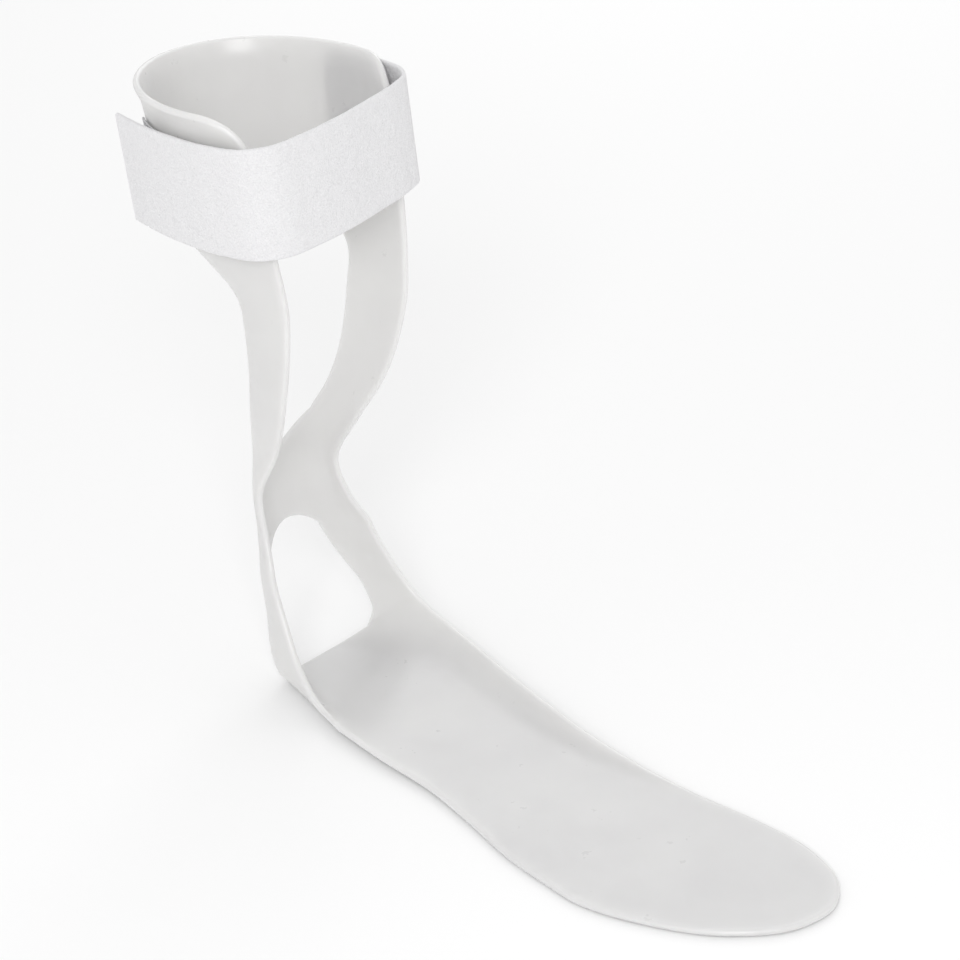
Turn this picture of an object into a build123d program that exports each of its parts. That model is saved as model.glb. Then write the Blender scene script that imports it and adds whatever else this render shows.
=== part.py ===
from build123d import *
import math
import os

# Ankle foot orthosis for a right foot: one thin moulded plastic leaf (foot plate,
# two heel struts, Achilles neck, two uprights, calf band) and a hook-and-loop strap.
# Frame: X forward to the toe, Y to the medial side, Z up, millimetres.
# The origin is on the ground under the foot plate, a little in front of its rear edge.

os.makedirs("parts", exist_ok=True)

# ---------------------------------------------------------------- driving sizes
SHELL = 2.6            # wall of the moulding
PIVOT_X = 45.0         # transverse line that the heel sections fan around
PIVOT_Z = 48.0
TOE_LINE_X = 180.0     # the plate is flat in front of this line
HEEL_EDGE = 46.0       # fan angle of the plate's rear edge, degrees
NECK_BOTTOM = 54.5     # top of the heel window
NECK_TOP = 84.5        # bottom of the calf window
WINDOW_TOP = 196.0     # top of the calf window, lower edge of the band
RIM_Z = 241.0
MM_PER_TURN = 1.14     # length of a degree of fan angle, round the back of the heel
FLEX_X = -15.0         # transverse axis that the leaf bends about
FLEX_Z = 70.0
FLEX_R = 25.0          # the two bodies part on a cylinder around that axis
GAP = 0.3              # clearance between bodies that move
INSIDE_Z = 60.0        # the wearer is over the pivot line from this height up
SINK = 0.05            # trimmed off the heel plate's underside to make it truly flat
NUDGE = 0.2            # step used to find the surface's direction
JOIN = 0.15            # parting line between two pieces of the leaf that meet end on
JOIN_TURN = 0.3        # the same in degrees of fan angle, where the struts meet the plate
EDGE_ROUND = 0.8       # rounding of the forefoot's upper edge
WING_ROUND_Z = 222.0   # the band's top front corners are rounded above this height
WING_ROUND = 0.17      # share of the section that the rounding takes away
LIP_H = 9.0            # the rim flares outward over this height
LIP_OUT = 2.2
CUT_LENGTH = 140.0     # longer than the leaf is wide

STRAP_T = 1.8
STRAP_H = 43.0
STRAP_Z = 190.5        # lower edge of the strap, on the X axis
STRAP_TILT = 4.0       # the strap rises towards the medial side, degrees
PAD_T = 1.2            # hook patches, stuck on the wings' outer faces
PAD_GLUE = 0.3         # adhesive under a hook patch
PAD_LATERAL = (-0.42, -0.86, 198.0, 228.0)   # shares of the section, then heights
PAD_MEDIAL = (0.62, 0.84, 203.0, 231.0)
MEDIAL_BEND = (22.9, 43.6)      # fold lines of the strap, in the strap's own plane
LATERAL_BEND = (21.8, -33.9)

# Calf sections, horizontal: height, middle, back of the section, depth back to
# front, half width at the front edge, half angle swept by the section.
CALF = [
    (48.0, 0.0, -20.5, 19.0, 24.8, 90.0),
    (60.0, 0.0, -21.5, 14.0, 20.8, 90.0),
    (77.0, 0.0, -23.0, 12.5, 18.8, 90.0),
    (98.0, 0.5, -24.5, 26.5, 20.2, 90.0),
    (115.0, 1.2, -25.0, 37.0, 24.6, 90.0),
    (130.0, 2.0, -25.0, 43.0, 27.0, 90.0),
    (150.0, 3.0, -27.0, 50.0, 28.5, 94.0),
    (166.0, 3.6, -30.0, 54.0, 28.5, 106.0),
    (186.0, 3.6, -50.0, 72.5, 30.0, 121.0),
    (210.0, 3.0, -56.0, 76.0, 31.5, 122.0),
    (241.0, 2.2, -59.5, 78.0, 33.5, 122.0),
]

# Heel sections, planes through the pivot line: fan angle from straight down, radius
# of the back, then for the lateral and the medial side: radius of the front edge,
# half width there, half angle swept, flatness of the bottom.
HEEL = [
    (0.0, 45.0, 42.2, 38.5, 41.0, 30.5, 60.0, 60.0, 2.0, 1.7),
    (20.0, 47.9, 42.6, 39.0, 36.2, 32.0, 84.0, 60.0, 3.0, 1.5),
    (46.0, 65.4, 42.2, 41.4, 31.0, 30.9, 90.0, 64.0, 2.9, 1.0),
    (66.0, 67.0, 42.3, 42.0, 27.8, 27.8, 90.0, 86.0, 1.3, 1.0),
    (90.0, 65.5, 46.5, 46.5, 24.8, 24.8, 90.0, 90.0, 1.0, 1.0),
]

# Plate sections, vertical and across: distance from the heel, rise at the lateral
# and the medial edge, half width at the lateral and the medial edge, flatness.
PLATE = [
    (45.0, 2.8, 6.5, 41.0, 30.5, 2.0, 1.7),
    (70.0, 2.0, 6.5, 44.0, 23.6, 1.7, 1.6),
    (100.0, 1.0, 6.5, 46.0, 16.2, 1.5, 1.5),
    (125.0, 0.4, 5.0, 51.0, 12.2, 1.5, 1.5),
    (150.0, 0.1, 2.6, 57.0, 12.0, 1.5, 1.5),
    (180.0, 0.0, 0.0, 60.5, 14.0, 1.5, 1.5),
]

# Edge of the heel window on the struts: fan angle, share of the section on the
# lateral and on the medial side.
HEEL_WINDOW = [
    (46.0, 0.56, 0.40),
    (47.5, 0.65, 0.50),
    (50.0, 0.70, 0.565),
    (55.0, 0.69, 0.585),
    (62.0, 0.62, 0.575),
    (71.0, 0.50, 0.51),
    (90.0, 0.31, 0.34),
]
# Edge of the calf window on the uprights: height, share of the section.
CALF_WINDOW = [(98.0, 0.46), (108.0, 0.55), (124.0, 0.60), (150.0, 0.62), (166.0, 0.61), (176.0, 0.56)]


# ---------------------------------------------------------------- formula surface
def blend(table, key):
    """Smooth curve through the rows of a station table, by its first column."""
    last = len(table) - 1
    if key <= table[0][0]:
        return table[0][1:]
    if key >= table[last][0]:
        return table[last][1:]
    i = max(k for k in range(last) if table[k][0] <= key)
    step = table[i + 1][0] - table[i][0]
    f = (key - table[i][0]) / step
    values = []
    for c in range(1, len(table[0])):
        slopes = []
        for k in (i, i + 1):
            low = max(k - 1, 0)
            high = min(k + 1, last)
            slopes.append((table[high][c] - table[low][c]) / (table[high][0] - table[low][0]) * step)
        a = table[i][c]
        b = table[i + 1][c]
        values.append(
            a * (1 + 2 * f) * (1 - f) ** 2
            + slopes[0] * f * (1 - f) ** 2
            + b * f * f * (3 - 2 * f)
            - slopes[1] * f * f * (1 - f)
        )
    return values


def flare(z):
    """Outward lip of the calf band's top rim."""
    return LIP_OUT * max(0.0, (z - RIM_Z + LIP_H) / LIP_H) ** 2


def calf_point(z, share):
    """Inner face above the heel: share -1 is the lateral edge, +1 the medial."""
    middle, back, depth, half, angle = blend(CALF, z)
    sweep = math.radians(angle)
    lip = flare(z)
    bend = share * sweep
    semi = depth / (1 - math.cos(sweep))
    x = back + semi * (1 - math.cos(bend)) - lip * math.cos(bend)
    y = middle + half * math.sin(bend) / math.sin(sweep) + lip * math.sin(bend)
    return (x, y, z)


def heel_point(angle, share):
    """Inner face round the heel, in the plane at a fan angle about the pivot line."""
    radius, edge_l, edge_m, half_l, half_m, sweep_l, sweep_m, flat_l, flat_m = blend(HEEL, angle)
    if angle < HEEL_EDGE:
        radius = (PIVOT_Z - SHELL + SINK) / math.cos(math.radians(angle))
    medial = share > 0
    sweep = math.radians(sweep_m if medial else sweep_l)
    edge = edge_m if medial else edge_l
    half = half_m if medial else half_l
    flat = flat_m if medial else flat_l
    bend = share * sweep
    lift = ((1 - math.cos(bend)) / (1 - math.cos(sweep))) ** flat
    r = radius - (radius - edge) * lift
    turn = math.radians(angle)
    return (
        PIVOT_X - r * math.sin(turn),
        half * math.sin(bend) / math.sin(sweep),
        PIVOT_Z - r * math.cos(turn),
    )


def plate_point(x, share):
    """Upper face of the foot plate at a distance from the heel."""
    rise_l, rise_m, half_l, half_m, flat_l, flat_m = blend(PLATE, x)
    medial = share > 0
    sweep = math.radians(60.0)
    bend = share * sweep
    rise = rise_m if medial else rise_l
    half = half_m if medial else half_l
    flat = flat_m if medial else flat_l
    lift = ((1 - math.cos(bend)) / (1 - math.cos(sweep))) ** flat
    return (x, half * math.sin(bend) / math.sin(sweep), SHELL - SINK + rise * lift)


# ---------------------------------------------------------------- edges of the leaf
def run_on(table, column, key):
    """Straight run past the end of a station table, at the slope it ends with."""
    before, end = table[-2:]
    return end[column] + (end[column] - before[column]) * (key - end[0]) / (end[0] - before[0])


def heel_window(key, side):
    """Share of the section where a heel strut's rear edge lies, arched at the top."""
    column = 1 if side > 0 else 0
    if key <= 90.0:
        return side * blend(HEEL_WINDOW, key)[column]
    arch = (key - 90.0) / (NECK_BOTTOM - PIVOT_Z)
    share = run_on(HEEL_WINDOW, 1 + column, 90.0 + (key - 90.0) / MM_PER_TURN)
    return side * share * math.sqrt(max(0.0, 1 - arch**2))


def calf_window(z, side):
    """Share of the section where an upright's rear edge lies, pointed at the bottom."""
    low_z, low_share = CALF_WINDOW[0]
    high_z = CALF_WINDOW[-1][0]
    if z < low_z:
        return side * low_share * max(0.0, (z - NECK_TOP) / (low_z - NECK_TOP)) ** 0.7
    if z > high_z:
        arch = (z - high_z) / (WINDOW_TOP - high_z)
        return side * run_on(CALF_WINDOW, 1, z) * math.sqrt(max(0.0, 1 - arch**2))
    return side * blend(CALF_WINDOW, z)[0]


def wing_end(z, side):
    """Share of the section where the calf band ends, rounded at its top front corner."""
    arch = max(0.0, (z - WING_ROUND_Z) / (RIM_Z - WING_ROUND_Z))
    return side * (1 - WING_ROUND * (1 - math.sqrt(max(0.0, 1 - arch**2))))


def sole_point(key, share):
    """Foot plate: key 0 is the pivot line, positive forward, negative round the heel."""
    return plate_point(PIVOT_X + key, share) if key >= 0 else heel_point(-key, share)


def strut_point(key, share):
    """Heel strut: key is the fan angle up to 90, then 90 plus the height above the pivot."""
    return heel_point(key, share) if key <= 90.0 else calf_point(PIVOT_Z + key - 90.0, share)


def even(low, high, count):
    """Evenly spaced stations."""
    return [low + (high - low) * k / (count - 1) for k in range(count)]


def eased(low, high, count):
    """Stations that crowd together towards the high end, for an arched edge."""
    return [low + (high - low) * math.sin(math.pi / 2 * k / (count - 1)) for k in range(count)]


def outer(point, key, share, distance):
    """Point of the inner face moved out, square to the face."""
    inner = Vector(*point(key, share))
    along = Vector(*point(key + NUDGE, share)) - Vector(*point(key - NUDGE, share))
    across = Vector(*point(key, share + NUDGE / 100)) - Vector(*point(key, share - NUDGE / 100))
    normal = along.cross(across).normalized()
    inside = Vector(PIVOT_X, 0, max(INSIDE_Z, inner.Z))
    if (inside - inner).dot(normal) > 0:
        normal = -normal
    return inner + normal * distance


def patch(rows):
    """Smooth face through a grid of points."""
    return Face.make_surface_from_array_of_points(rows, tol=0.05, smoothing=(1, 1, 1), min_deg=3, max_deg=5)


def wall(point, stations, start, end, count, near=0.0, far=SHELL):
    """Solid wall on a patch of the formula surface, between two edge curves."""
    shares = []
    for key in stations:
        low = start(key)
        high = end(key)
        shares.append([low + (high - low) * k / (count - 1) for k in range(count)])
    grid = [[(key, share) for share in row] for key, row in zip(stations, shares)]
    inside = patch([[outer(point, key, share, near) for key, share in row] for row in grid])
    outside = patch([[outer(point, key, share, far) for key, share in row] for row in grid])
    faces = [inside, outside]
    for edge in inside.edges():
        partner = min(outside.edges(), key=lambda other: (other @ 0.5 - edge @ 0.5).length)
        faces.append(Face.make_surface_from_curves(edge, partner))
    return Solid(Shell(faces))


FLEX_AXIS = Location((FLEX_X, 0, FLEX_Z), (90, 0, 0))

# ---------------------------------------------------------------- foot plate
with BuildPart() as forefoot:
    with BuildSketch():
        with BuildLine():
            lateral = Spline(
                (TOE_LINE_X, -60.5), (211.0, -54.0), (237.0, -40.0), (252.0, -22.0), (254.0, -6.0),
                tangents=((1.0, -0.03), (-0.15, 1.0)),
            )
            medial = Spline(
                lateral @ 1, (248.0, 4.0), (230.0, 13.0), (205.0, 15.0), (TOE_LINE_X, 14.0),
                tangents=((-0.15, 1.0), (-1.0, -0.03)),
            )
            Line(medial @ 1, lateral @ 0)
        make_face()
    extrude(amount=SHELL)
    rim_edges = forefoot.edges().group_by(Axis.Z)[-1].filter_by(GeomType.BSPLINE)
    fillet(rim_edges, EDGE_ROUND)
forefoot.part.label = "forefoot_plate"
export_step(forefoot.part, "parts/forefoot_plate.step")

with BuildPart() as heel_plate:
    add(wall(
        sole_point,
        even(-HEEL_EDGE, 0.0, 9)[:-1] + even(0.0, TOE_LINE_X - PIVOT_X, 12),
        lambda key: -1.0, lambda key: 1.0, 31,
    ))
    split(bisect_by=Plane.XY, keep=Keep.TOP)
heel_plate.part.label = "heel_plate"
export_step(heel_plate.part, "parts/heel_plate.step")

# ---------------------------------------------------------------- heel struts
STRUT_KEYS = even(HEEL_EDGE + JOIN_TURN, 90.0, 13)[:-1] + eased(90.0, 90.0 + NECK_BOTTOM - PIVOT_Z, 6)


def strut(side):
    """Whole heel strut of one side, from the plate's rear corner to the neck."""
    return wall(
        strut_point, STRUT_KEYS,
        lambda key: heel_window(key, side), lambda key: side, 9,
    )


with BuildPart() as strut_lateral:
    add(strut(-1.0))
    with Locations(FLEX_AXIS):
        Cylinder(FLEX_R + GAP, CUT_LENGTH, mode=Mode.SUBTRACT)
strut_lateral.part.label = "heel_strut_lateral"
export_step(strut_lateral.part, "parts/heel_strut_lateral.step")

with BuildPart() as strut_medial:
    add(strut(1.0))
    with Locations(FLEX_AXIS):
        Cylinder(FLEX_R + GAP, CUT_LENGTH, mode=Mode.SUBTRACT)
strut_medial.part.label = "heel_strut_medial"
export_step(strut_medial.part, "parts/heel_strut_medial.step")

with BuildPart() as branch_lateral:
    add(strut(-1.0))
    with Locations(FLEX_AXIS):
        Cylinder(FLEX_R, CUT_LENGTH, mode=Mode.INTERSECT)
branch_lateral.part.label = "neck_branch_lateral"
export_step(branch_lateral.part, "parts/neck_branch_lateral.step")

with BuildPart() as branch_medial:
    add(strut(1.0))
    with Locations(FLEX_AXIS):
        Cylinder(FLEX_R, CUT_LENGTH, mode=Mode.INTERSECT)
branch_medial.part.label = "neck_branch_medial"
export_step(branch_medial.part, "parts/neck_branch_medial.step")

# ---------------------------------------------------------------- neck and uprights
with BuildPart() as neck:
    add(wall(calf_point, even(NECK_BOTTOM, NECK_TOP, 8), lambda z: -1.0, lambda z: 1.0, 21))
neck.part.label = "achilles_neck"
export_step(neck.part, "parts/achilles_neck.step")

UPRIGHT_KEYS = (
    even(NECK_TOP + JOIN, CALF_WINDOW[0][0], 7)[:-1]
    + even(CALF_WINDOW[0][0], CALF_WINDOW[-1][0], 13)[:-1]
    + eased(CALF_WINDOW[-1][0], WINDOW_TOP, 8)
)


def upright(side):
    """Upright of one side, from the neck to the calf band."""
    return wall(
        calf_point, UPRIGHT_KEYS,
        lambda z: calf_window(z, side), lambda z: side, 13,
    )


with BuildPart() as upright_lateral:
    add(upright(-1.0))
upright_lateral.part.label = "upright_lateral"
export_step(upright_lateral.part, "parts/upright_lateral.step")

with BuildPart() as upright_medial:
    add(upright(1.0))
upright_medial.part.label = "upright_medial"
export_step(upright_medial.part, "parts/upright_medial.step")

# ---------------------------------------------------------------- calf band
with BuildPart() as band:
    add(wall(
        calf_point,
        even(WINDOW_TOP + JOIN, RIM_Z - LIP_H, 7)[:-1] + eased(RIM_Z - LIP_H, RIM_Z, 7),
        lambda z: wing_end(z, -1.0), lambda z: wing_end(z, 1.0), 41,
    ))
band.part.label = "calf_band"
export_step(band.part, "parts/calf_band.step")

# ---------------------------------------------------------------- hook patches
def hook_tape(first, last, low, high):
    """Hook patch on a wing, between two shares of the section and two heights."""
    return wall(
        calf_point, even(low, high, 7),
        lambda z: first, lambda z: last, 11, SHELL + PAD_GLUE, SHELL + PAD_T,
    )


with BuildPart() as patch_lateral:
    add(hook_tape(*PAD_LATERAL))
patch_lateral.part.label = "hook_patch_lateral"
export_step(patch_lateral.part, "parts/hook_patch_lateral.step")

with BuildPart() as patch_medial:
    add(hook_tape(*PAD_MEDIAL))
patch_medial.part.label = "hook_patch_medial"
export_step(patch_medial.part, "parts/hook_patch_medial.step")

# ---------------------------------------------------------------- strap
TILT = math.radians(STRAP_TILT)
STRAP_PLANE = Plane(
    origin=(0, 0, STRAP_Z), x_dir=(1, 0, 0), z_dir=(0, -math.sin(TILT), math.cos(TILT))
)

with BuildPart() as strap_anchor:
    with BuildSketch(STRAP_PLANE):
        with BuildLine():
            Spline((-20.0, 48.3), (-7.0, 49.0), (8.0, 49.2), (17.0, 47.6), (21.4, 44.9))
        trace(line_width=STRAP_T)
    extrude(amount=STRAP_H)
strap_anchor.part.label = "strap_anchor"
export_step(strap_anchor.part, "parts/strap_anchor.step")

with BuildPart() as strap_front:
    with BuildSketch(STRAP_PLANE):
        with BuildLine():
            Spline(
                MEDIAL_BEND, (26.0, 36.0), (28.6, 20.0), (30.4, 0.0), (30.0, -14.0),
                (28.0, -26.2), (23.2, -32.6),
            )
        trace(line_width=STRAP_T)
        with Locations(MEDIAL_BEND):
            Circle(STRAP_T / 2)
    extrude(amount=STRAP_H)
strap_front.part.label = "strap_front"
export_step(strap_front.part, "parts/strap_front.step")

with BuildPart() as strap_tab:
    with BuildSketch(STRAP_PLANE):
        with BuildLine():
            Spline(LATERAL_BEND, (7.0, -38.2), (-12.0, -39.0), (-30.0, -37.8), (-46.0, -35.2))
        trace(line_width=STRAP_T)
        with Locations(LATERAL_BEND):
            Circle(STRAP_T / 2)
    extrude(amount=STRAP_H)
strap_tab.part.label = "strap_tab"
export_step(strap_tab.part, "parts/strap_tab.step")
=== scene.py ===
import math

import bmesh
import bpy
from mathutils import Matrix, Vector


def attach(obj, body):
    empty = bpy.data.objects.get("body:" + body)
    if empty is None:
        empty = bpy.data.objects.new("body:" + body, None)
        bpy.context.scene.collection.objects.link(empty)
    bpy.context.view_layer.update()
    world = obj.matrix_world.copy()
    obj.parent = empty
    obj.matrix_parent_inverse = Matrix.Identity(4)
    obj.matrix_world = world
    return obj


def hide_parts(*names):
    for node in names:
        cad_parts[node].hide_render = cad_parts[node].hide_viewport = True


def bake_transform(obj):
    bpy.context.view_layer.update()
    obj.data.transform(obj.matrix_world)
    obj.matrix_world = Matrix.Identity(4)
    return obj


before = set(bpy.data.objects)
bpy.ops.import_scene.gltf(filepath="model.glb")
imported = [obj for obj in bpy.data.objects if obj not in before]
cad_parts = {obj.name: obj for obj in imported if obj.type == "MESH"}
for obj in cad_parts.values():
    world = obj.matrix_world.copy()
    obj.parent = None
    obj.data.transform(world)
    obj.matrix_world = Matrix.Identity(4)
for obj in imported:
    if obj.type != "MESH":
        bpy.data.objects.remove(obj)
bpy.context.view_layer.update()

# Ankle foot orthosis: one moulded plastic leaf, two hook patches and a loop strap.
# Shapes are worked out in millimetres in the CAD frame and turned to metres as meshes.
MM = 0.001
WALL = 2.6             # wall of the moulding
ROUND = WALL / 2       # every free edge of the leaf is a half round
PIVOT_X = 45.0         # transverse line that the heel sections fan around
PIVOT_Z = 48.0
TOE_LINE_X = 180.0     # the plate is flat in front of this line
HEEL_EDGE = 46.0       # fan angle of the plate's rear edge, degrees
LEVEL = 90.0           # fan angle where heel sections give way to calf sections
MM_PER_TURN = 1.14     # length of a degree of fan angle, round the back of the heel
NECK_BOTTOM = 54.5     # top of the heel window
NECK_TOP = 84.5        # bottom of the calf window
WINDOW_TOP = 196.0     # top of the calf window
WINDOW_POINT = 0.7     # power that shapes the pointed bottom of the calf window
RIM_Z = 241.0          # top of the calf band
LIP_H = 9.0            # the band flares outward over this height below its rim
LIP_OUT = 2.2          # how far the rim stands out at the flare's end
SINK = 0.05            # the plate is sunk this far, and then cut flat at the floor
WING_ROUND_Z = 222.0   # the band's top front corners are rounded above this height
WING_ROUND = 0.17      # share of the section that the rounding takes away

STRAP_T = 1.8          # thickness of the webbing
STRAP_H = 43.0         # width of the webbing, which stands on edge
STRAP_Z = 190.5        # lower edge of the strap, on the X axis
STRAP_TILT = math.radians(4.0)
PAD_T = 1.2            # outer face of the hook patches, over the leaf's outer face
PAD_GLUE = 0.3         # inner face of the hook patches, over the leaf's outer face
# Hook patches: share of the section at the two ends, then the lower and upper height.
PAD_LATERAL = (-0.42, -0.86, 198.0, 228.0)
PAD_MEDIAL = (0.62, 0.84, 203.0, 231.0)

# Calf sections, horizontal: height, middle, back of the section, depth back to
# front, half width at the front edge, half angle swept by the section.
CALF = [
    (48.0, 0.0, -20.5, 19.0, 24.8, 90.0),
    (60.0, 0.0, -21.5, 14.0, 20.8, 90.0),
    (77.0, 0.0, -23.0, 12.5, 18.8, 90.0),
    (98.0, 0.5, -24.5, 26.5, 20.2, 90.0),
    (115.0, 1.2, -25.0, 37.0, 24.6, 90.0),
    (130.0, 2.0, -25.0, 43.0, 27.0, 90.0),
    (150.0, 3.0, -27.0, 50.0, 28.5, 94.0),
    (166.0, 3.6, -30.0, 54.0, 28.5, 106.0),
    (186.0, 3.6, -50.0, 72.5, 30.0, 121.0),
    (210.0, 3.0, -56.0, 76.0, 31.5, 122.0),
    (241.0, 2.2, -59.5, 78.0, 33.5, 122.0),
]

# Heel sections, planes through the pivot line: fan angle from straight down, radius
# of the back, then for the lateral and the medial side: radius of the front edge,
# half width there, half angle swept, flatness of the bottom.
HEEL = [
    (0.0, 45.0, 42.2, 38.5, 41.0, 30.5, 60.0, 60.0, 2.0, 1.7),
    (20.0, 47.9, 42.6, 39.0, 36.2, 32.0, 84.0, 60.0, 3.0, 1.5),
    (46.0, 65.4, 42.2, 41.4, 31.0, 30.9, 90.0, 64.0, 2.9, 1.0),
    (66.0, 67.0, 42.3, 42.0, 27.8, 27.8, 90.0, 86.0, 1.3, 1.0),
    (90.0, 65.5, 46.5, 46.5, 24.8, 24.8, 90.0, 90.0, 1.0, 1.0),
]

# Plate sections, vertical and across: x, rise at the lateral and the medial edge,
# half width at the lateral and the medial edge, flatness on the same two sides.
PLATE = [
    (45.0, 2.8, 6.5, 41.0, 30.5, 2.0, 1.7),
    (70.0, 2.0, 6.5, 44.0, 23.6, 1.7, 1.6),
    (100.0, 1.0, 6.5, 46.0, 16.2, 1.5, 1.5),
    (125.0, 0.4, 5.0, 51.0, 12.2, 1.5, 1.5),
    (150.0, 0.1, 2.6, 57.0, 12.0, 1.5, 1.5),
    (180.0, 0.0, 0.0, 60.5, 14.0, 1.5, 1.5),
]

# Edge of the heel window on the struts: fan angle, share of the section on the
# lateral and on the medial side.
HEEL_WINDOW = [
    (45.0, 0.56, 0.40),
    (47.0, 0.65, 0.50),
    (50.0, 0.70, 0.565),
    (55.0, 0.69, 0.585),
    (62.0, 0.62, 0.575),
    (71.0, 0.50, 0.51),
    (90.0, 0.31, 0.34),
]
# Edge of the calf window on the uprights: height, share of the section.
CALF_WINDOW = [(98.0, 0.46), (108.0, 0.55), (124.0, 0.60), (150.0, 0.62), (166.0, 0.61), (176.0, 0.56)]

HEEL_BACK = 65.4       # radius of the heel's back at the plate's rear edge
REAR_KEY = HEEL_EDGE - math.degrees(ROUND / HEEL_BACK)
TOE_KEY = TOE_LINE_X - PIVOT_X
PLATE_SWEEP = 60.0     # half angle swept by the plate's sections, degrees


# ---------------------------------------------------------------- shape of the leaf
def smooth_table(table, key):
    """Smooth curve through the rows of a station table, by its first column."""
    last = len(table) - 1
    if key <= table[0][0]:
        return table[0][1:]
    if key >= table[last][0]:
        return table[last][1:]
    i = max(k for k in range(last) if table[k][0] <= key)
    step = table[i + 1][0] - table[i][0]
    f = (key - table[i][0]) / step
    values = []
    for c in range(1, len(table[0])):
        slopes = []
        for k in (i, i + 1):
            low = max(k - 1, 0)
            high = min(k + 1, last)
            slopes.append((table[high][c] - table[low][c]) / (table[high][0] - table[low][0]) * step)
        values.append(
            table[i][c] * (1 + 2 * f) * (1 - f) ** 2
            + slopes[0] * f * (1 - f) ** 2
            + table[i + 1][c] * f * f * (3 - 2 * f)
            - slopes[1] * f * f * (1 - f)
        )
    return values


def calf_point(z, share):
    """Inner face above the heel: share -1 is the lateral edge, +1 the medial."""
    middle, back, depth, half, angle = smooth_table(CALF, z)
    sweep = math.radians(angle)
    lip = LIP_OUT * max(0.0, (z - RIM_Z + LIP_H) / LIP_H) ** 2
    bend = share * sweep
    semi = depth / (1 - math.cos(sweep))
    x = back + semi * (1 - math.cos(bend)) - lip * math.cos(bend)
    y = middle + half * math.sin(bend) / math.sin(sweep) + lip * math.sin(bend)
    return Vector((x, y, z))


def heel_point(angle, share):
    """Inner face round the heel, in the plane at a fan angle about the pivot line."""
    radius, edge_l, edge_m, half_l, half_m, sweep_l, sweep_m, flat_l, flat_m = smooth_table(HEEL, angle)
    if angle < HEEL_EDGE:
        radius = (PIVOT_Z - WALL + SINK) / math.cos(math.radians(angle))
    medial = share > 0
    sweep = math.radians(sweep_m if medial else sweep_l)
    edge = edge_m if medial else edge_l
    half = half_m if medial else half_l
    bend = share * sweep
    lift = ((1 - math.cos(bend)) / (1 - math.cos(sweep))) ** (flat_m if medial else flat_l)
    r = radius - (radius - edge) * lift
    turn = math.radians(angle)
    y = half * math.sin(bend) / math.sin(sweep)
    return Vector((PIVOT_X - r * math.sin(turn), y, PIVOT_Z - r * math.cos(turn)))


def plate_point(x, share):
    """Upper face of the foot plate: share -1 is the lateral edge, +1 the medial."""
    rise_l, rise_m, half_l, half_m, flat_l, flat_m = smooth_table(PLATE, x)
    medial = share > 0
    sweep = math.radians(PLATE_SWEEP)
    bend = share * sweep
    lift = ((1 - math.cos(bend)) / (1 - math.cos(sweep))) ** (flat_m if medial else flat_l)
    rise = (rise_m if medial else rise_l) * lift
    half = half_m if medial else half_l
    return Vector((x, half * math.sin(bend) / math.sin(sweep), WALL - SINK + rise))


def sole_point(key, share):
    """Foot plate: key 0 is the pivot line, positive forward, negative round the heel."""
    return plate_point(PIVOT_X + key, share) if key >= 0 else heel_point(-key, share)


def strut_point(key, share):
    """Heel strut: key is the fan angle up to LEVEL, then LEVEL plus the height above the pivot."""
    return heel_point(key, share) if key <= LEVEL else calf_point(PIVOT_Z + key - LEVEL, share)


# ---------------------------------------------------------------- edges of the leaf
def inset(point, key, share):
    """Share that a half round takes off a free edge."""
    step = 0.01
    inner = share - math.copysign(step, share)
    return ROUND * step / (point(key, share) - point(key, inner)).length


def outer_edge(point, key, side):
    """Net's free front edge, a half round in from the finished edge."""
    return side * (1 - inset(point, key, side))


def run_on(table, column, key):
    """Change of a value past the end of a station table, at the slope it ends with."""
    before, end = table[-2:]
    return (end[column] - before[column]) * (key - end[0]) / (end[0] - before[0])


def heel_window(key, side):
    """Net's edge round the heel window, arched at the top."""
    column = 1 if side > 0 else 0
    share = smooth_table(HEEL_WINDOW, min(key, LEVEL))[column]
    share += inset(strut_point, min(key, LEVEL), side * share)
    share += run_on(HEEL_WINDOW, 1 + column, LEVEL + max(key - LEVEL, 0.0) / MM_PER_TURN)
    arch = max(0.0, (key - LEVEL) / (NECK_BOTTOM + ROUND - PIVOT_Z))
    return side * share * math.sqrt(max(0.0, 1 - arch**2))


def calf_window(z, side):
    """Net's edge round the calf window, pointed at the bottom and arched at the top."""
    low_z = CALF_WINDOW[0][0]
    high_z = CALF_WINDOW[-1][0]
    middle = min(max(z, low_z), high_z)
    share = smooth_table(CALF_WINDOW, middle)[0]
    share += inset(calf_point, middle, side * share)
    share += run_on(CALF_WINDOW, 1, max(z, high_z))
    if z < low_z:
        start = NECK_TOP - ROUND
        share *= max(0.0, (z - start) / (low_z - start)) ** WINDOW_POINT
    if z > high_z:
        arch = (z - high_z) / (WINDOW_TOP + ROUND - high_z)
        share *= math.sqrt(max(0.0, 1 - arch**2))
    return side * share


def wing_end(z, side):
    """Net's edge at the end of the calf band, rounded at its top front corner."""
    arch = max(0.0, (z - WING_ROUND_Z) / (RIM_Z - ROUND - WING_ROUND_Z))
    round_off = WING_ROUND * (1 - math.sqrt(max(0.0, 1 - arch**2)))
    return outer_edge(calf_point, z, side) - side * round_off


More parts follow.
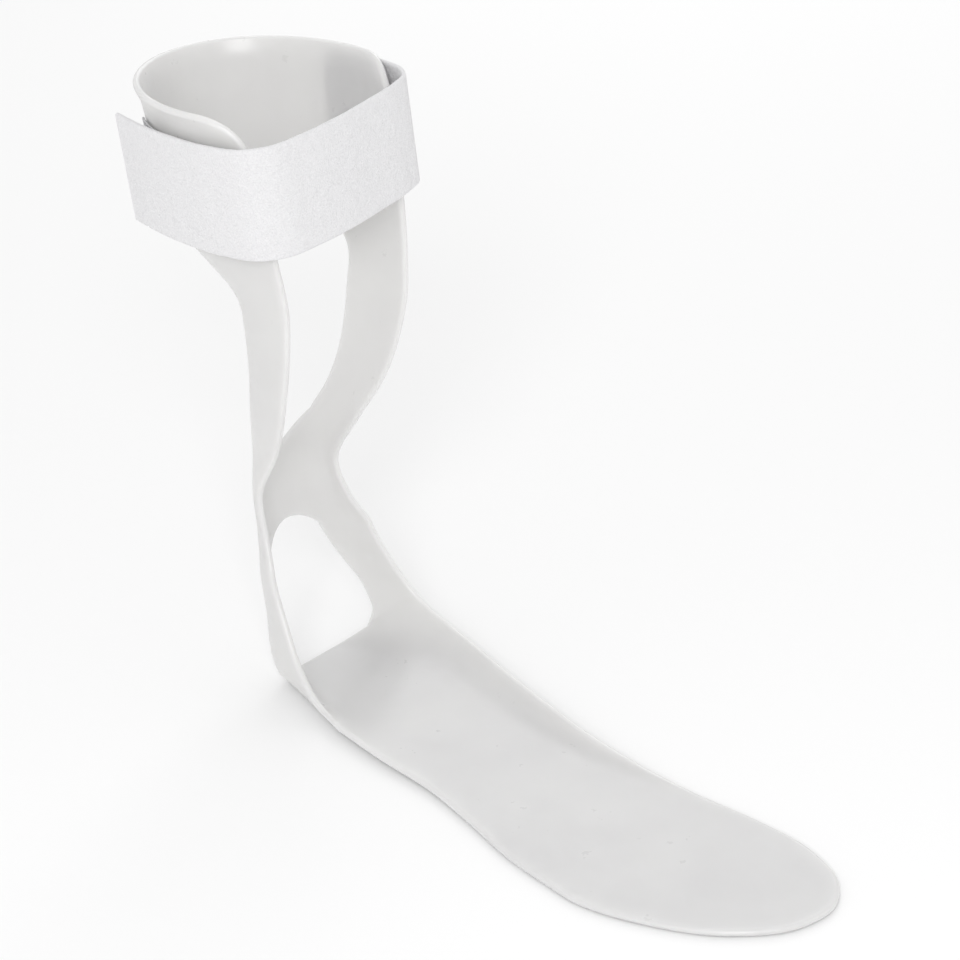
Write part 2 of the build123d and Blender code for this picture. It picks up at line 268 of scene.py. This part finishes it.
# ---------------------------------------------------------------- nets
COLUMNS = 14           # across each strut, upright and half of the neck and band
MIDDLE_COLUMNS = 24    # across the foot plate between the struts
FRONT_SPLIT = 0.7      # share where the plate's outer columns begin, at the toe line
HEEL_ROWS = 34         # foot plate behind the pivot line
PLATE_ROWS = 70        # foot plate from the pivot line to the toe line
TOE_ROWS = 44          # rounded front of the foot plate
TOE_STEPS = 24         # toe outline, between two of its knots
TOE_LEFT = 0.40        # share of the toe outline where its lateral side ends
TOE_RIGHT = 0.62       # and where its medial side begins
CORNER_ROWS = 18       # struts, beside the heel window's lower corner
CORNER_END = 52.0      # fan angle where that corner ends
STRUT_ROWS = 24        # struts, from the corner up to the pivot line
ARCH_ROWS = 12         # struts, beside the heel window's arch
POINT_ROWS = 14        # uprights, beside the calf window's pointed bottom
POINT_EASE = 1.6       # power that crowds those rows towards the point
UPRIGHT_ROWS = 46      # uprights, beside the calf window's long sides
CALF_ARCH_ROWS = 18    # uprights, beside the calf window's arch
NECK_ROWS = 18
BAND_ROWS = 20         # band, up to its flare
FLARE_ROWS = 14
PATCH_GRID = 24        # hook patch, each way
WELD = 0.02            # points of neighbouring nets closer than this are one
SLIVER = 0.001         # an edge shorter than this is dropped
EDGE_STEPS = 6         # faces round a half-round edge
WEBBING_ROWS = 40      # faces up each side of the strap
SHARP_ANGLE = math.radians(60.0)  # faces that turn more than this show a corner


def even(low, high, count):
    """Evenly spaced stations."""
    return [low + (high - low) * k / (count - 1) for k in range(count)]


def eased(low, high, count):
    """Stations that crowd together towards the high end, for an arched edge."""
    return [low + (high - low) * math.sin(math.pi / 2 * k / (count - 1)) for k in range(count)]


def strip(point, keys, start, end, count):
    """Rows of points on the inner face, each from one edge to the other."""
    rows = []
    for key in keys:
        low = start(key)
        high = end(key)
        rows.append([point(key, low + (high - low) * k / count) for k in range(count + 1)])
    return rows


def sole_shares(key):
    """Shares across the foot plate; at its rear the outer columns carry on into the struts."""
    spread = min(1.0, max(0.0, -key / REAR_KEY))
    corners = []
    for side in (-1.0, 1.0):
        rear = heel_window(REAR_KEY, side)
        corners.append(rear * spread + side * FRONT_SPLIT * (1 - spread))
    left = outer_edge(sole_point, key, -1.0)
    right = outer_edge(sole_point, key, 1.0)
    shares = [left + (corners[0] - left) * k / COLUMNS for k in range(COLUMNS)]
    shares += [corners[0] + (corners[1] - corners[0]) * k / MIDDLE_COLUMNS for k in range(MIDDLE_COLUMNS)]
    shares += [corners[1] + (right - corners[1]) * k / COLUMNS for k in range(COLUMNS + 1)]
    return shares


def spline(knots, steps, first=None, last=None):
    """Smooth plane curve through points, with its end directions if they are given."""
    points = [Vector(k).to_2d() for k in knots]
    lengths = [(b - a).length for a, b in zip(points[:-1], points[1:])]
    slopes = []
    for i in range(len(points)):
        before = (points[i] - points[i - 1]) / lengths[i - 1] if i else None
        after = (points[i + 1] - points[i]) / lengths[i] if i < len(lengths) else None
        if before is None:
            slopes.append(Vector(first).normalized() if first else after)
        elif after is None:
            slopes.append(Vector(last).normalized() if last else before)
        else:
            slopes.append((before * lengths[i] + after * lengths[i - 1]) / (lengths[i] + lengths[i - 1]))
    curve = []
    for i, step in enumerate(lengths):
        for k in range(steps):
            f = k / steps
            curve.append(
                points[i] * ((1 + 2 * f) * (1 - f) ** 2)
                + slopes[i] * (step * f * (1 - f) ** 2)
                + points[i + 1] * (f * f * (3 - 2 * f))
                - slopes[i + 1] * (step * f * f * (1 - f))
            )
    return curve + [points[-1]]


def toe_outline():
    """Outline of the forefoot from the lateral to the medial end of the toe line."""
    knots = [
        (TOE_LINE_X, -60.5), (211.0, -54.0), (237.0, -40.0), (252.0, -22.0), (254.0, -6.0),
        (248.0, 4.0), (230.0, 13.0), (205.0, 15.0), (TOE_LINE_X, 14.0),
    ]
    return spline(knots, TOE_STEPS, first=(1.0, -0.03), last=(-1.0, -0.03))


def resample(curve, shares):
    """Points at shares of a plane curve's length."""
    reach = [0.0]
    for a, b in zip(curve[:-1], curve[1:]):
        reach.append(reach[-1] + (b - a).length)
    points = []
    for share in shares:
        at = share * reach[-1]
        i = max(k for k in range(len(curve) - 1) if reach[k] <= at or k == 0)
        f = (at - reach[i]) / (reach[i + 1] - reach[i])
        points.append(curve[i].lerp(curve[i + 1], min(f, 1.0)))
    return points


def forefoot_rows():
    """Rows between the toe line and the rounded front of the plate, all flat."""
    outline = toe_outline()
    edge = []
    for i, p in enumerate(outline):
        along = (outline[min(i + 1, len(outline) - 1)] - outline[max(i - 1, 0)]).normalized()
        edge.append(p + ROUND * Vector((-along.y, along.x)))
    left_end = int(len(edge) * TOE_LEFT)
    right_end = int(len(edge) * TOE_RIGHT)
    left = edge[: left_end + 1]
    front = edge[left_end: right_end + 1]
    right = edge[right_end:][::-1]
    base = [sole_point(TOE_KEY, share).to_2d() for share in sole_shares(TOE_KEY)]
    across = [(p.y - base[0].y) / (base[-1].y - base[0].y) for p in base]
    front = resample(front, across)
    along_side = [k / TOE_ROWS for k in range(TOE_ROWS + 1)]
    left = resample(left, along_side)
    right = resample(right, along_side)
    left[0] = base[0]
    right[0] = base[-1]
    rows = []
    for k, f in enumerate(along_side):
        row = []
        for u, low, high in zip(across, base, front):
            rails = (1 - f) * low + f * high + (1 - u) * left[k] + u * right[k]
            corners = (1 - f) * ((1 - u) * base[0] + u * base[-1])
            corners += f * ((1 - u) * front[0] + u * front[-1])
            p = rails - corners
            row.append(Vector((p.x, p.y, WALL - SINK)))
        rows.append(row)
    return rows


def leaf_patches():
    """The leaf's inner face as grids whose shared edges have the same points."""
    sole_keys = even(-REAR_KEY, 0.0, HEEL_ROWS)[:-1] + even(0.0, TOE_KEY, PLATE_ROWS)
    patches = [[[sole_point(key, share) for share in sole_shares(key)] for key in sole_keys]]
    patches.append(forefoot_rows())
    top_key = LEVEL + NECK_BOTTOM + ROUND - PIVOT_Z
    strut_keys = (
        even(REAR_KEY, CORNER_END, CORNER_ROWS)[:-1]
        + even(CORNER_END, LEVEL, STRUT_ROWS)[:-1]
        + eased(LEVEL, top_key, ARCH_ROWS)
    )
    low_z = CALF_WINDOW[0][0]
    high_z = CALF_WINDOW[-1][0]
    start_z = NECK_TOP - ROUND
    upright_keys = (
        [start_z + (low_z - start_z) * (k / POINT_ROWS) ** POINT_EASE for k in range(POINT_ROWS)]
        + even(low_z, high_z, UPRIGHT_ROWS)[:-1]
        + eased(high_z, WINDOW_TOP + ROUND, CALF_ARCH_ROWS)
    )
    for side in (-1.0, 1.0):
        patches.append(strip(
            strut_point, strut_keys,
            lambda key: heel_window(key, side), lambda key: outer_edge(strut_point, key, side), COLUMNS,
        ))
        patches.append(strip(
            calf_point, upright_keys,
            lambda z: calf_window(z, side), lambda z: wing_end(z, side), COLUMNS,
        ))
    patches.append(strip(
        calf_point, even(NECK_BOTTOM + ROUND, start_z, NECK_ROWS),
        lambda z: wing_end(z, -1.0), lambda z: wing_end(z, 1.0), 2 * COLUMNS,
    ))
    flare_z = RIM_Z - LIP_H
    band_keys = (
        even(WINDOW_TOP + ROUND, flare_z, BAND_ROWS)[:-1]
        + eased(flare_z, RIM_Z - ROUND, FLARE_ROWS)
    )
    patches.append(strip(
        calf_point, band_keys,
        lambda z: wing_end(z, -1.0), lambda z: wing_end(z, 1.0), 2 * COLUMNS,
    ))
    return patches


# ---------------------------------------------------------------- meshes
def new_piece(name, points, faces, material):
    """Smooth mesh object from points in millimetres."""
    mesh = bpy.data.meshes.new(name)
    mesh.from_pydata([tuple(p * MM) for p in points], [], faces)
    mesh.validate()
    mesh.polygons.foreach_set("use_smooth", [True] * len(mesh.polygons))
    mesh.set_sharp_from_angle(angle=SHARP_ANGLE)
    obj = bpy.data.objects.new(name, mesh)
    bpy.context.scene.collection.objects.link(obj)
    mesh.materials.append(material)
    return obj


def merged(patches, is_outward):
    """Points, outward normals and faces of grids joined at their shared points."""
    work = bmesh.new()
    for rows in patches:
        ids = [[work.verts.new(p) for p in row] for row in rows]
        for low, high in zip(ids[:-1], ids[1:]):
            for k in range(len(low) - 1):
                work.faces.new((low[k], low[k + 1], high[k + 1], high[k]))
    bmesh.ops.remove_doubles(work, verts=work.verts, dist=WELD)
    bmesh.ops.dissolve_degenerate(work, edges=work.edges, dist=SLIVER)
    bmesh.ops.recalc_face_normals(work, faces=work.faces)
    work.normal_update()
    lowest = min(work.faces, key=lambda face: face.calc_center_median().z)
    if not is_outward(lowest):
        bmesh.ops.reverse_faces(work, faces=work.faces)
        work.normal_update()
    work.verts.index_update()
    points = [v.co.copy() for v in work.verts]
    normals = [v.normal.copy() for v in work.verts]
    faces = [[v.index for v in face.verts] for face in work.faces]
    work.free()
    return points, normals, faces


def thick(points, normals, faces, near, far):
    """Closed wall between two offsets of an open net, with half-round free edges."""
    radius = (far - near) / 2
    count = len(points)
    out = [p + n * far for p, n in zip(points, normals)]
    out += [p + n * near for p, n in zip(points, normals)]
    quads = [list(face) for face in faces]
    quads += [[v + count for v in reversed(face)] for face in faces]
    # An edge is free when no other face runs along it the other way.
    used = {}
    for face in faces:
        for k in range(len(face)):
            edge = (face[k - 1], face[k])
            used[edge] = edge[::-1] not in used
            if not used[edge]:
                used[edge[::-1]] = False
    free = [edge for edge, alone in used.items() if alone]
    away = {}
    for a, b in free:
        push = (points[b] - points[a]).normalized().cross(normals[a])
        for v in (a, b):
            away[v] = away.get(v, Vector((0, 0, 0))) + push
    rings = {}
    for v, push in away.items():
        push = (push - push.dot(normals[v]) * normals[v]).normalized()
        middle = points[v] + normals[v] * (near + radius)
        rings[v] = [v]
        for k in range(1, EDGE_STEPS):
            turn = math.pi / 2 - math.pi * k / EDGE_STEPS
            out.append(middle + radius * (math.cos(turn) * push + math.sin(turn) * normals[v]))
            rings[v].append(len(out) - 1)
        rings[v].append(v + count)
    for a, b in free:
        for k in range(EDGE_STEPS):
            quads.append([rings[b][k], rings[a][k], rings[a][k + 1], rings[b][k + 1]])
    return out, quads


def strap_point(u, v, height):
    """Point in the strap's own tilted frame."""
    return Vector((
        u,
        v * math.cos(STRAP_TILT) - height * math.sin(STRAP_TILT),
        STRAP_Z + v * math.sin(STRAP_TILT) + height * math.cos(STRAP_TILT),
    ))


def ribbon(path):
    """Flat webbing on edge along a plane path, with rounded edges and square cut ends."""
    half = STRAP_T / 2
    section = []
    for k in range(WEBBING_ROWS + 1):
        section.append((half, half + (STRAP_H - STRAP_T) * k / WEBBING_ROWS))
    for k in range(1, EDGE_STEPS):
        turn = math.pi * k / EDGE_STEPS
        section.append((half * math.cos(turn), STRAP_H - half + half * math.sin(turn)))
    for k in range(WEBBING_ROWS + 1):
        section.append((-half, STRAP_H - half - (STRAP_H - STRAP_T) * k / WEBBING_ROWS))
    for k in range(1, EDGE_STEPS):
        turn = math.pi + math.pi * k / EDGE_STEPS
        section.append((half * math.cos(turn), half + half * math.sin(turn)))
    points = []
    for i, p in enumerate(path):
        along = (path[min(i + 1, len(path) - 1)] - path[max(i - 1, 0)]).normalized()
        side = Vector((along.y, -along.x))
        for offset, height in section:
            q = p + side * offset
            points.append(strap_point(q.x, q.y, height))
    count = len(section)
    faces = []
    for i in range(len(path) - 1):
        for k in range(count):
            a = i * count + k
            b = i * count + (k + 1) % count
            faces.append([a, b, b + count, a + count])
    faces.append(list(range(count))[::-1])
    faces.append([(len(path) - 1) * count + k for k in range(count)])
    return points, faces


# ---------------------------------------------------------------- materials
def new_material(name, colour, roughness):
    """Material of a plain colour and roughness, with its Principled shader."""
    material = bpy.data.materials.new(name)
    material.use_nodes = True
    shader = material.node_tree.nodes["Principled BSDF"]
    shader.inputs["Base Color"].default_value = (*colour, 1.0)
    shader.inputs["Roughness"].default_value = roughness
    return material, shader


def noise(tree, scale, detail=3.0, roughness=0.5):
    """Noise fixed to the object, at a scale in cycles per metre."""
    place = tree.nodes.new("ShaderNodeTexCoord")
    texture = tree.nodes.new("ShaderNodeTexNoise")
    texture.inputs["Scale"].default_value = scale
    texture.inputs["Detail"].default_value = detail
    texture.inputs["Roughness"].default_value = roughness
    tree.links.new(place.outputs["Object"], texture.inputs["Vector"])
    return texture.outputs["Fac"]


def ramp(tree, value, low, high, start=0.3, end=0.7):
    """Colour or grey between two values as a noise goes from start to end."""
    node = tree.nodes.new("ShaderNodeValToRGB")
    node.color_ramp.elements[0].position = start
    node.color_ramp.elements[1].position = end
    node.color_ramp.elements[0].color = (*low, 1.0)
    node.color_ramp.elements[1].color = (*high, 1.0)
    tree.links.new(value, node.inputs["Fac"])
    return node.outputs["Color"]


def grey(tree, value, low, high, start=0.3, end=0.7):
    """Number between two values as a noise goes from start to end."""
    node = tree.nodes.new("ShaderNodeMapRange")
    node.inputs["From Min"].default_value = start
    node.inputs["From Max"].default_value = end
    node.inputs["To Min"].default_value = low
    node.inputs["To Max"].default_value = high
    tree.links.new(value, node.inputs["Value"])
    return node.outputs["Result"]


def bump(tree, height, depth, previous=None):
    """Bump of a depth in metres, on top of a previous one."""
    node = tree.nodes.new("ShaderNodeBump")
    node.inputs["Strength"].default_value = 1.0
    node.inputs["Distance"].default_value = depth
    tree.links.new(height, node.inputs["Height"])
    if previous is not None:
        tree.links.new(previous, node.inputs["Normal"])
    return node.outputs["Normal"]


def polypropylene():
    """Milky moulded plastic: light soaks in, and the polished face has a faint waviness."""
    material, shader = new_material("polypropylene", (0.63, 0.625, 0.62), 0.34)
    tree = material.node_tree
    cloud = ramp(tree, noise(tree, 22.0), (0.61, 0.605, 0.605), (0.645, 0.642, 0.637))
    tree.links.new(cloud, shader.inputs["Base Color"])
    wear = noise(tree, 160.0, 5.0, 0.6)
    tree.links.new(grey(tree, wear, 0.27, 0.42), shader.inputs["Roughness"])
    waves = bump(tree, noise(tree, 60.0, 2.0), 0.00025)
    tree.links.new(waves, shader.inputs["Normal"])
    shader.inputs["Subsurface Weight"].default_value = 1.0
    shader.inputs["Subsurface Radius"].default_value = (1.0, 1.0, 0.97)
    shader.inputs["Subsurface Scale"].default_value = 0.0065
    shader.inputs["IOR"].default_value = 1.49
    shader.inputs["Coat Weight"].default_value = 0.25
    shader.inputs["Coat Roughness"].default_value = 0.18
    return material


def loop_cloth():
    """White brushed loop webbing: a short uneven pile over a fine knit, with painted shade in the pile's
    hollows.
    """
    material, shader = new_material("loop_strap", (0.86, 0.855, 0.865), 0.92)
    tree = material.node_tree
    pile = noise(tree, 1500.0, 4.0, 0.65)
    # Painted shade: the colour darkens where the pile noise is low, in the hollows between the tufts that
    # the bump raises.
    hollow_shade = ramp(tree, pile, (0.76, 0.755, 0.77), (0.88, 0.875, 0.885))
    tree.links.new(hollow_shade, shader.inputs["Base Color"])
    tufts = bump(tree, pile, 0.0006)
    nap = bump(tree, noise(tree, 260.0, 2.0), 0.0006, tufts)
    tree.links.new(nap, shader.inputs["Normal"])
    shader.inputs["Sheen Weight"].default_value = 0.35
    shader.inputs["Sheen Roughness"].default_value = 0.6
    return material


def hook_tape():
    """White hook tape: rows of tiny stiff hooks, with painted shade in the gaps between them."""
    material, shader = new_material("hook_tape", (0.72, 0.72, 0.73), 0.55)
    tree = material.node_tree
    place = tree.nodes.new("ShaderNodeTexCoord")
    hooks = tree.nodes.new("ShaderNodeTexVoronoi")
    hooks.inputs["Scale"].default_value = 900.0
    hooks.inputs["Randomness"].default_value = 0.25
    tree.links.new(place.outputs["Object"], hooks.inputs["Vector"])
    tips = hooks.outputs["Distance"]
    # Painted shade: the colour darkens away from each hook's tip, in the gaps between the raised hooks.
    hollow_shade = ramp(tree, tips, (0.82, 0.82, 0.83), (0.56, 0.56, 0.57), 0.1, 0.6)
    tree.links.new(hollow_shade, shader.inputs["Base Color"])
    tree.links.new(bump(tree, tips, -0.0006), shader.inputs["Normal"])
    return material


def floor_paper():
    """Seamless pale studio floor."""
    material, shader = new_material("floor", (0.93, 0.93, 0.93), 0.9)
    shader.inputs["Specular IOR Level"].default_value = 0.1
    return material


# ---------------------------------------------------------------- the leaf
def build_leaf(material):
    """The whole moulding as one piece."""
    points, normals, faces = merged(leaf_patches(), lambda face: face.normal.z < 0)
    points, faces = thick(points, normals, faces, 0.0, WALL)
    for p in points:
        p.z = max(p.z, 0.0)
    leaf = new_piece("leaf", points, faces, material)
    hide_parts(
        "forefoot_plate", "heel_plate", "heel_strut_lateral", "heel_strut_medial",
        "neck_branch_lateral", "neck_branch_medial", "achilles_neck", "upright_lateral",
        "upright_medial", "calf_band",
    )
    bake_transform(leaf)


def build_hook_patch(name, extent, material):
    """Hook tape stuck to the outer face of a wing."""
    first, last, low, high = extent
    keys = even(low, high, PATCH_GRID)
    rows = strip(calf_point, keys, lambda z: first, lambda z: last, PATCH_GRID)
    points, normals, faces = merged([rows], lambda face: face.normal.y * first > 0)
    points, faces = thick(points, normals, faces, WALL + PAD_GLUE, WALL + PAD_T)
    patch = new_piece(name, points, faces, material)
    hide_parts(name)
    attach(patch, "calf")


# ---------------------------------------------------------------- the strap
# Middle line of the webbing in the strap's own frame, from its medial to its free end.
ANCHOR = [(-20.0, 48.3), (-7.0, 49.0), (8.0, 49.2), (17.0, 47.6), (21.4, 44.9)]
MEDIAL_BEND = (22.9, 43.6)
FRONT = [(26.0, 36.0), (28.6, 20.0), (30.4, 0.0), (30.0, -14.0), (28.0, -26.2)]
LATERAL_BEND = (21.8, -33.9)
TAB = [(7.0, -38.2), (-12.0, -39.0), (-30.0, -37.8), (-46.0, -35.2)]
SPLIT = 3              # point of FRONT where the strap's two meshes meet
STRAP_STEPS = 14       # rows of the strap between two of the points above


def build_strap(material):
    """Loop strap, from the medial hook patch round the front and over the lateral one."""
    knots = ANCHOR + [MEDIAL_BEND] + FRONT + [LATERAL_BEND] + TAB
    path = spline(knots, STRAP_STEPS)
    cut = STRAP_STEPS * (len(ANCHOR) + 1 + SPLIT)
    halves = []
    for name, part in (("strap_medial", path[: cut + 1]), ("strap_lateral", path[cut:])):
        points, faces = ribbon(part)
        half = new_piece(name, points, faces, material)
        halves.append(half)
    medial, lateral = halves
    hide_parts("strap_anchor", "strap_front")
    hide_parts("strap_tab")
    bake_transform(medial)
    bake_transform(lateral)


# ---------------------------------------------------------------- studio
def build_floor():
    """Wide flat floor just below the sole."""
    mesh = bpy.data.meshes.new("floor")
    reach = 6.0
    drop = -0.0003
    corners = [(-reach, -reach, drop), (reach, -reach, drop), (reach, reach, drop), (-reach, reach, drop)]
    mesh.from_pydata(corners, [], [(0, 1, 2, 3)])
    floor = bpy.data.objects.new("floor", mesh)
    bpy.context.scene.collection.objects.link(floor)
    mesh.materials.append(floor_paper())


MIDDLE = Vector((0.08, 0.0, 0.1))


def soft_light(name, place, size, power):
    """Square area light aimed at the middle of the orthosis."""
    light = bpy.data.lights.new(name, "AREA")
    light.shape = "SQUARE"
    light.size = size
    light.energy = power
    obj = bpy.data.objects.new(name, light)
    obj.location = place
    aim = MIDDLE - Vector(place)
    obj.rotation_euler = aim.to_track_quat("-Z", "Y").to_euler()
    bpy.context.scene.collection.objects.link(obj)


def build_light():
    """White surround with two soft lights: one front lateral, a weaker one behind."""
    world = bpy.data.worlds.new("studio")
    world.use_nodes = True
    sky = world.node_tree.nodes["Background"]
    sky.inputs["Color"].default_value = (1.0, 1.0, 1.0, 1.0)
    sky.inputs["Strength"].default_value = 0.80
    bpy.context.scene.world = world
    bpy.context.scene.view_settings.view_transform = "Standard"
    soft_light("key", (1.0, -1.0, 0.9), 0.7, 9.0)
    soft_light("back", (-0.7, 1.1, 1.1), 1.0, 4.5)


def build_camera():
    """Long lens from the front lateral side, a little rolled."""
    azimuth = math.radians(46.0)
    elevation = math.radians(28.0)
    roll = math.radians(-4.0)
    right = Vector((math.cos(azimuth), math.sin(azimuth), 0.0))
    forward = Vector((
        -math.sin(azimuth) * math.cos(elevation),
        math.cos(azimuth) * math.cos(elevation),
        -math.sin(elevation),
    ))
    up = right.cross(forward)
    axis_x = right * math.cos(roll) + up * math.sin(roll)
    axis_y = up * math.cos(roll) - right * math.sin(roll)
    turn = Matrix((axis_x, axis_y, -forward)).transposed()
    data = bpy.data.cameras.new("camera")
    data.lens = 94.7
    data.sensor_width = 36.0
    data.dof.use_dof = False
    data.clip_start = 0.01
    data.clip_end = 30.0
    camera = bpy.data.objects.new("camera", data)
    camera.matrix_world = Matrix.Translation(Vector((0.6674, -0.5576, 0.5350))) @ turn.to_4x4()
    bpy.context.scene.collection.objects.link(camera)
    bpy.context.scene.camera = camera


build_leaf(polypropylene())
HOOKS = hook_tape()
build_hook_patch("hook_patch_lateral", PAD_LATERAL, HOOKS)
build_hook_patch("hook_patch_medial", PAD_MEDIAL, HOOKS)
build_strap(loop_cloth())
build_floor()
build_light()
build_camera()
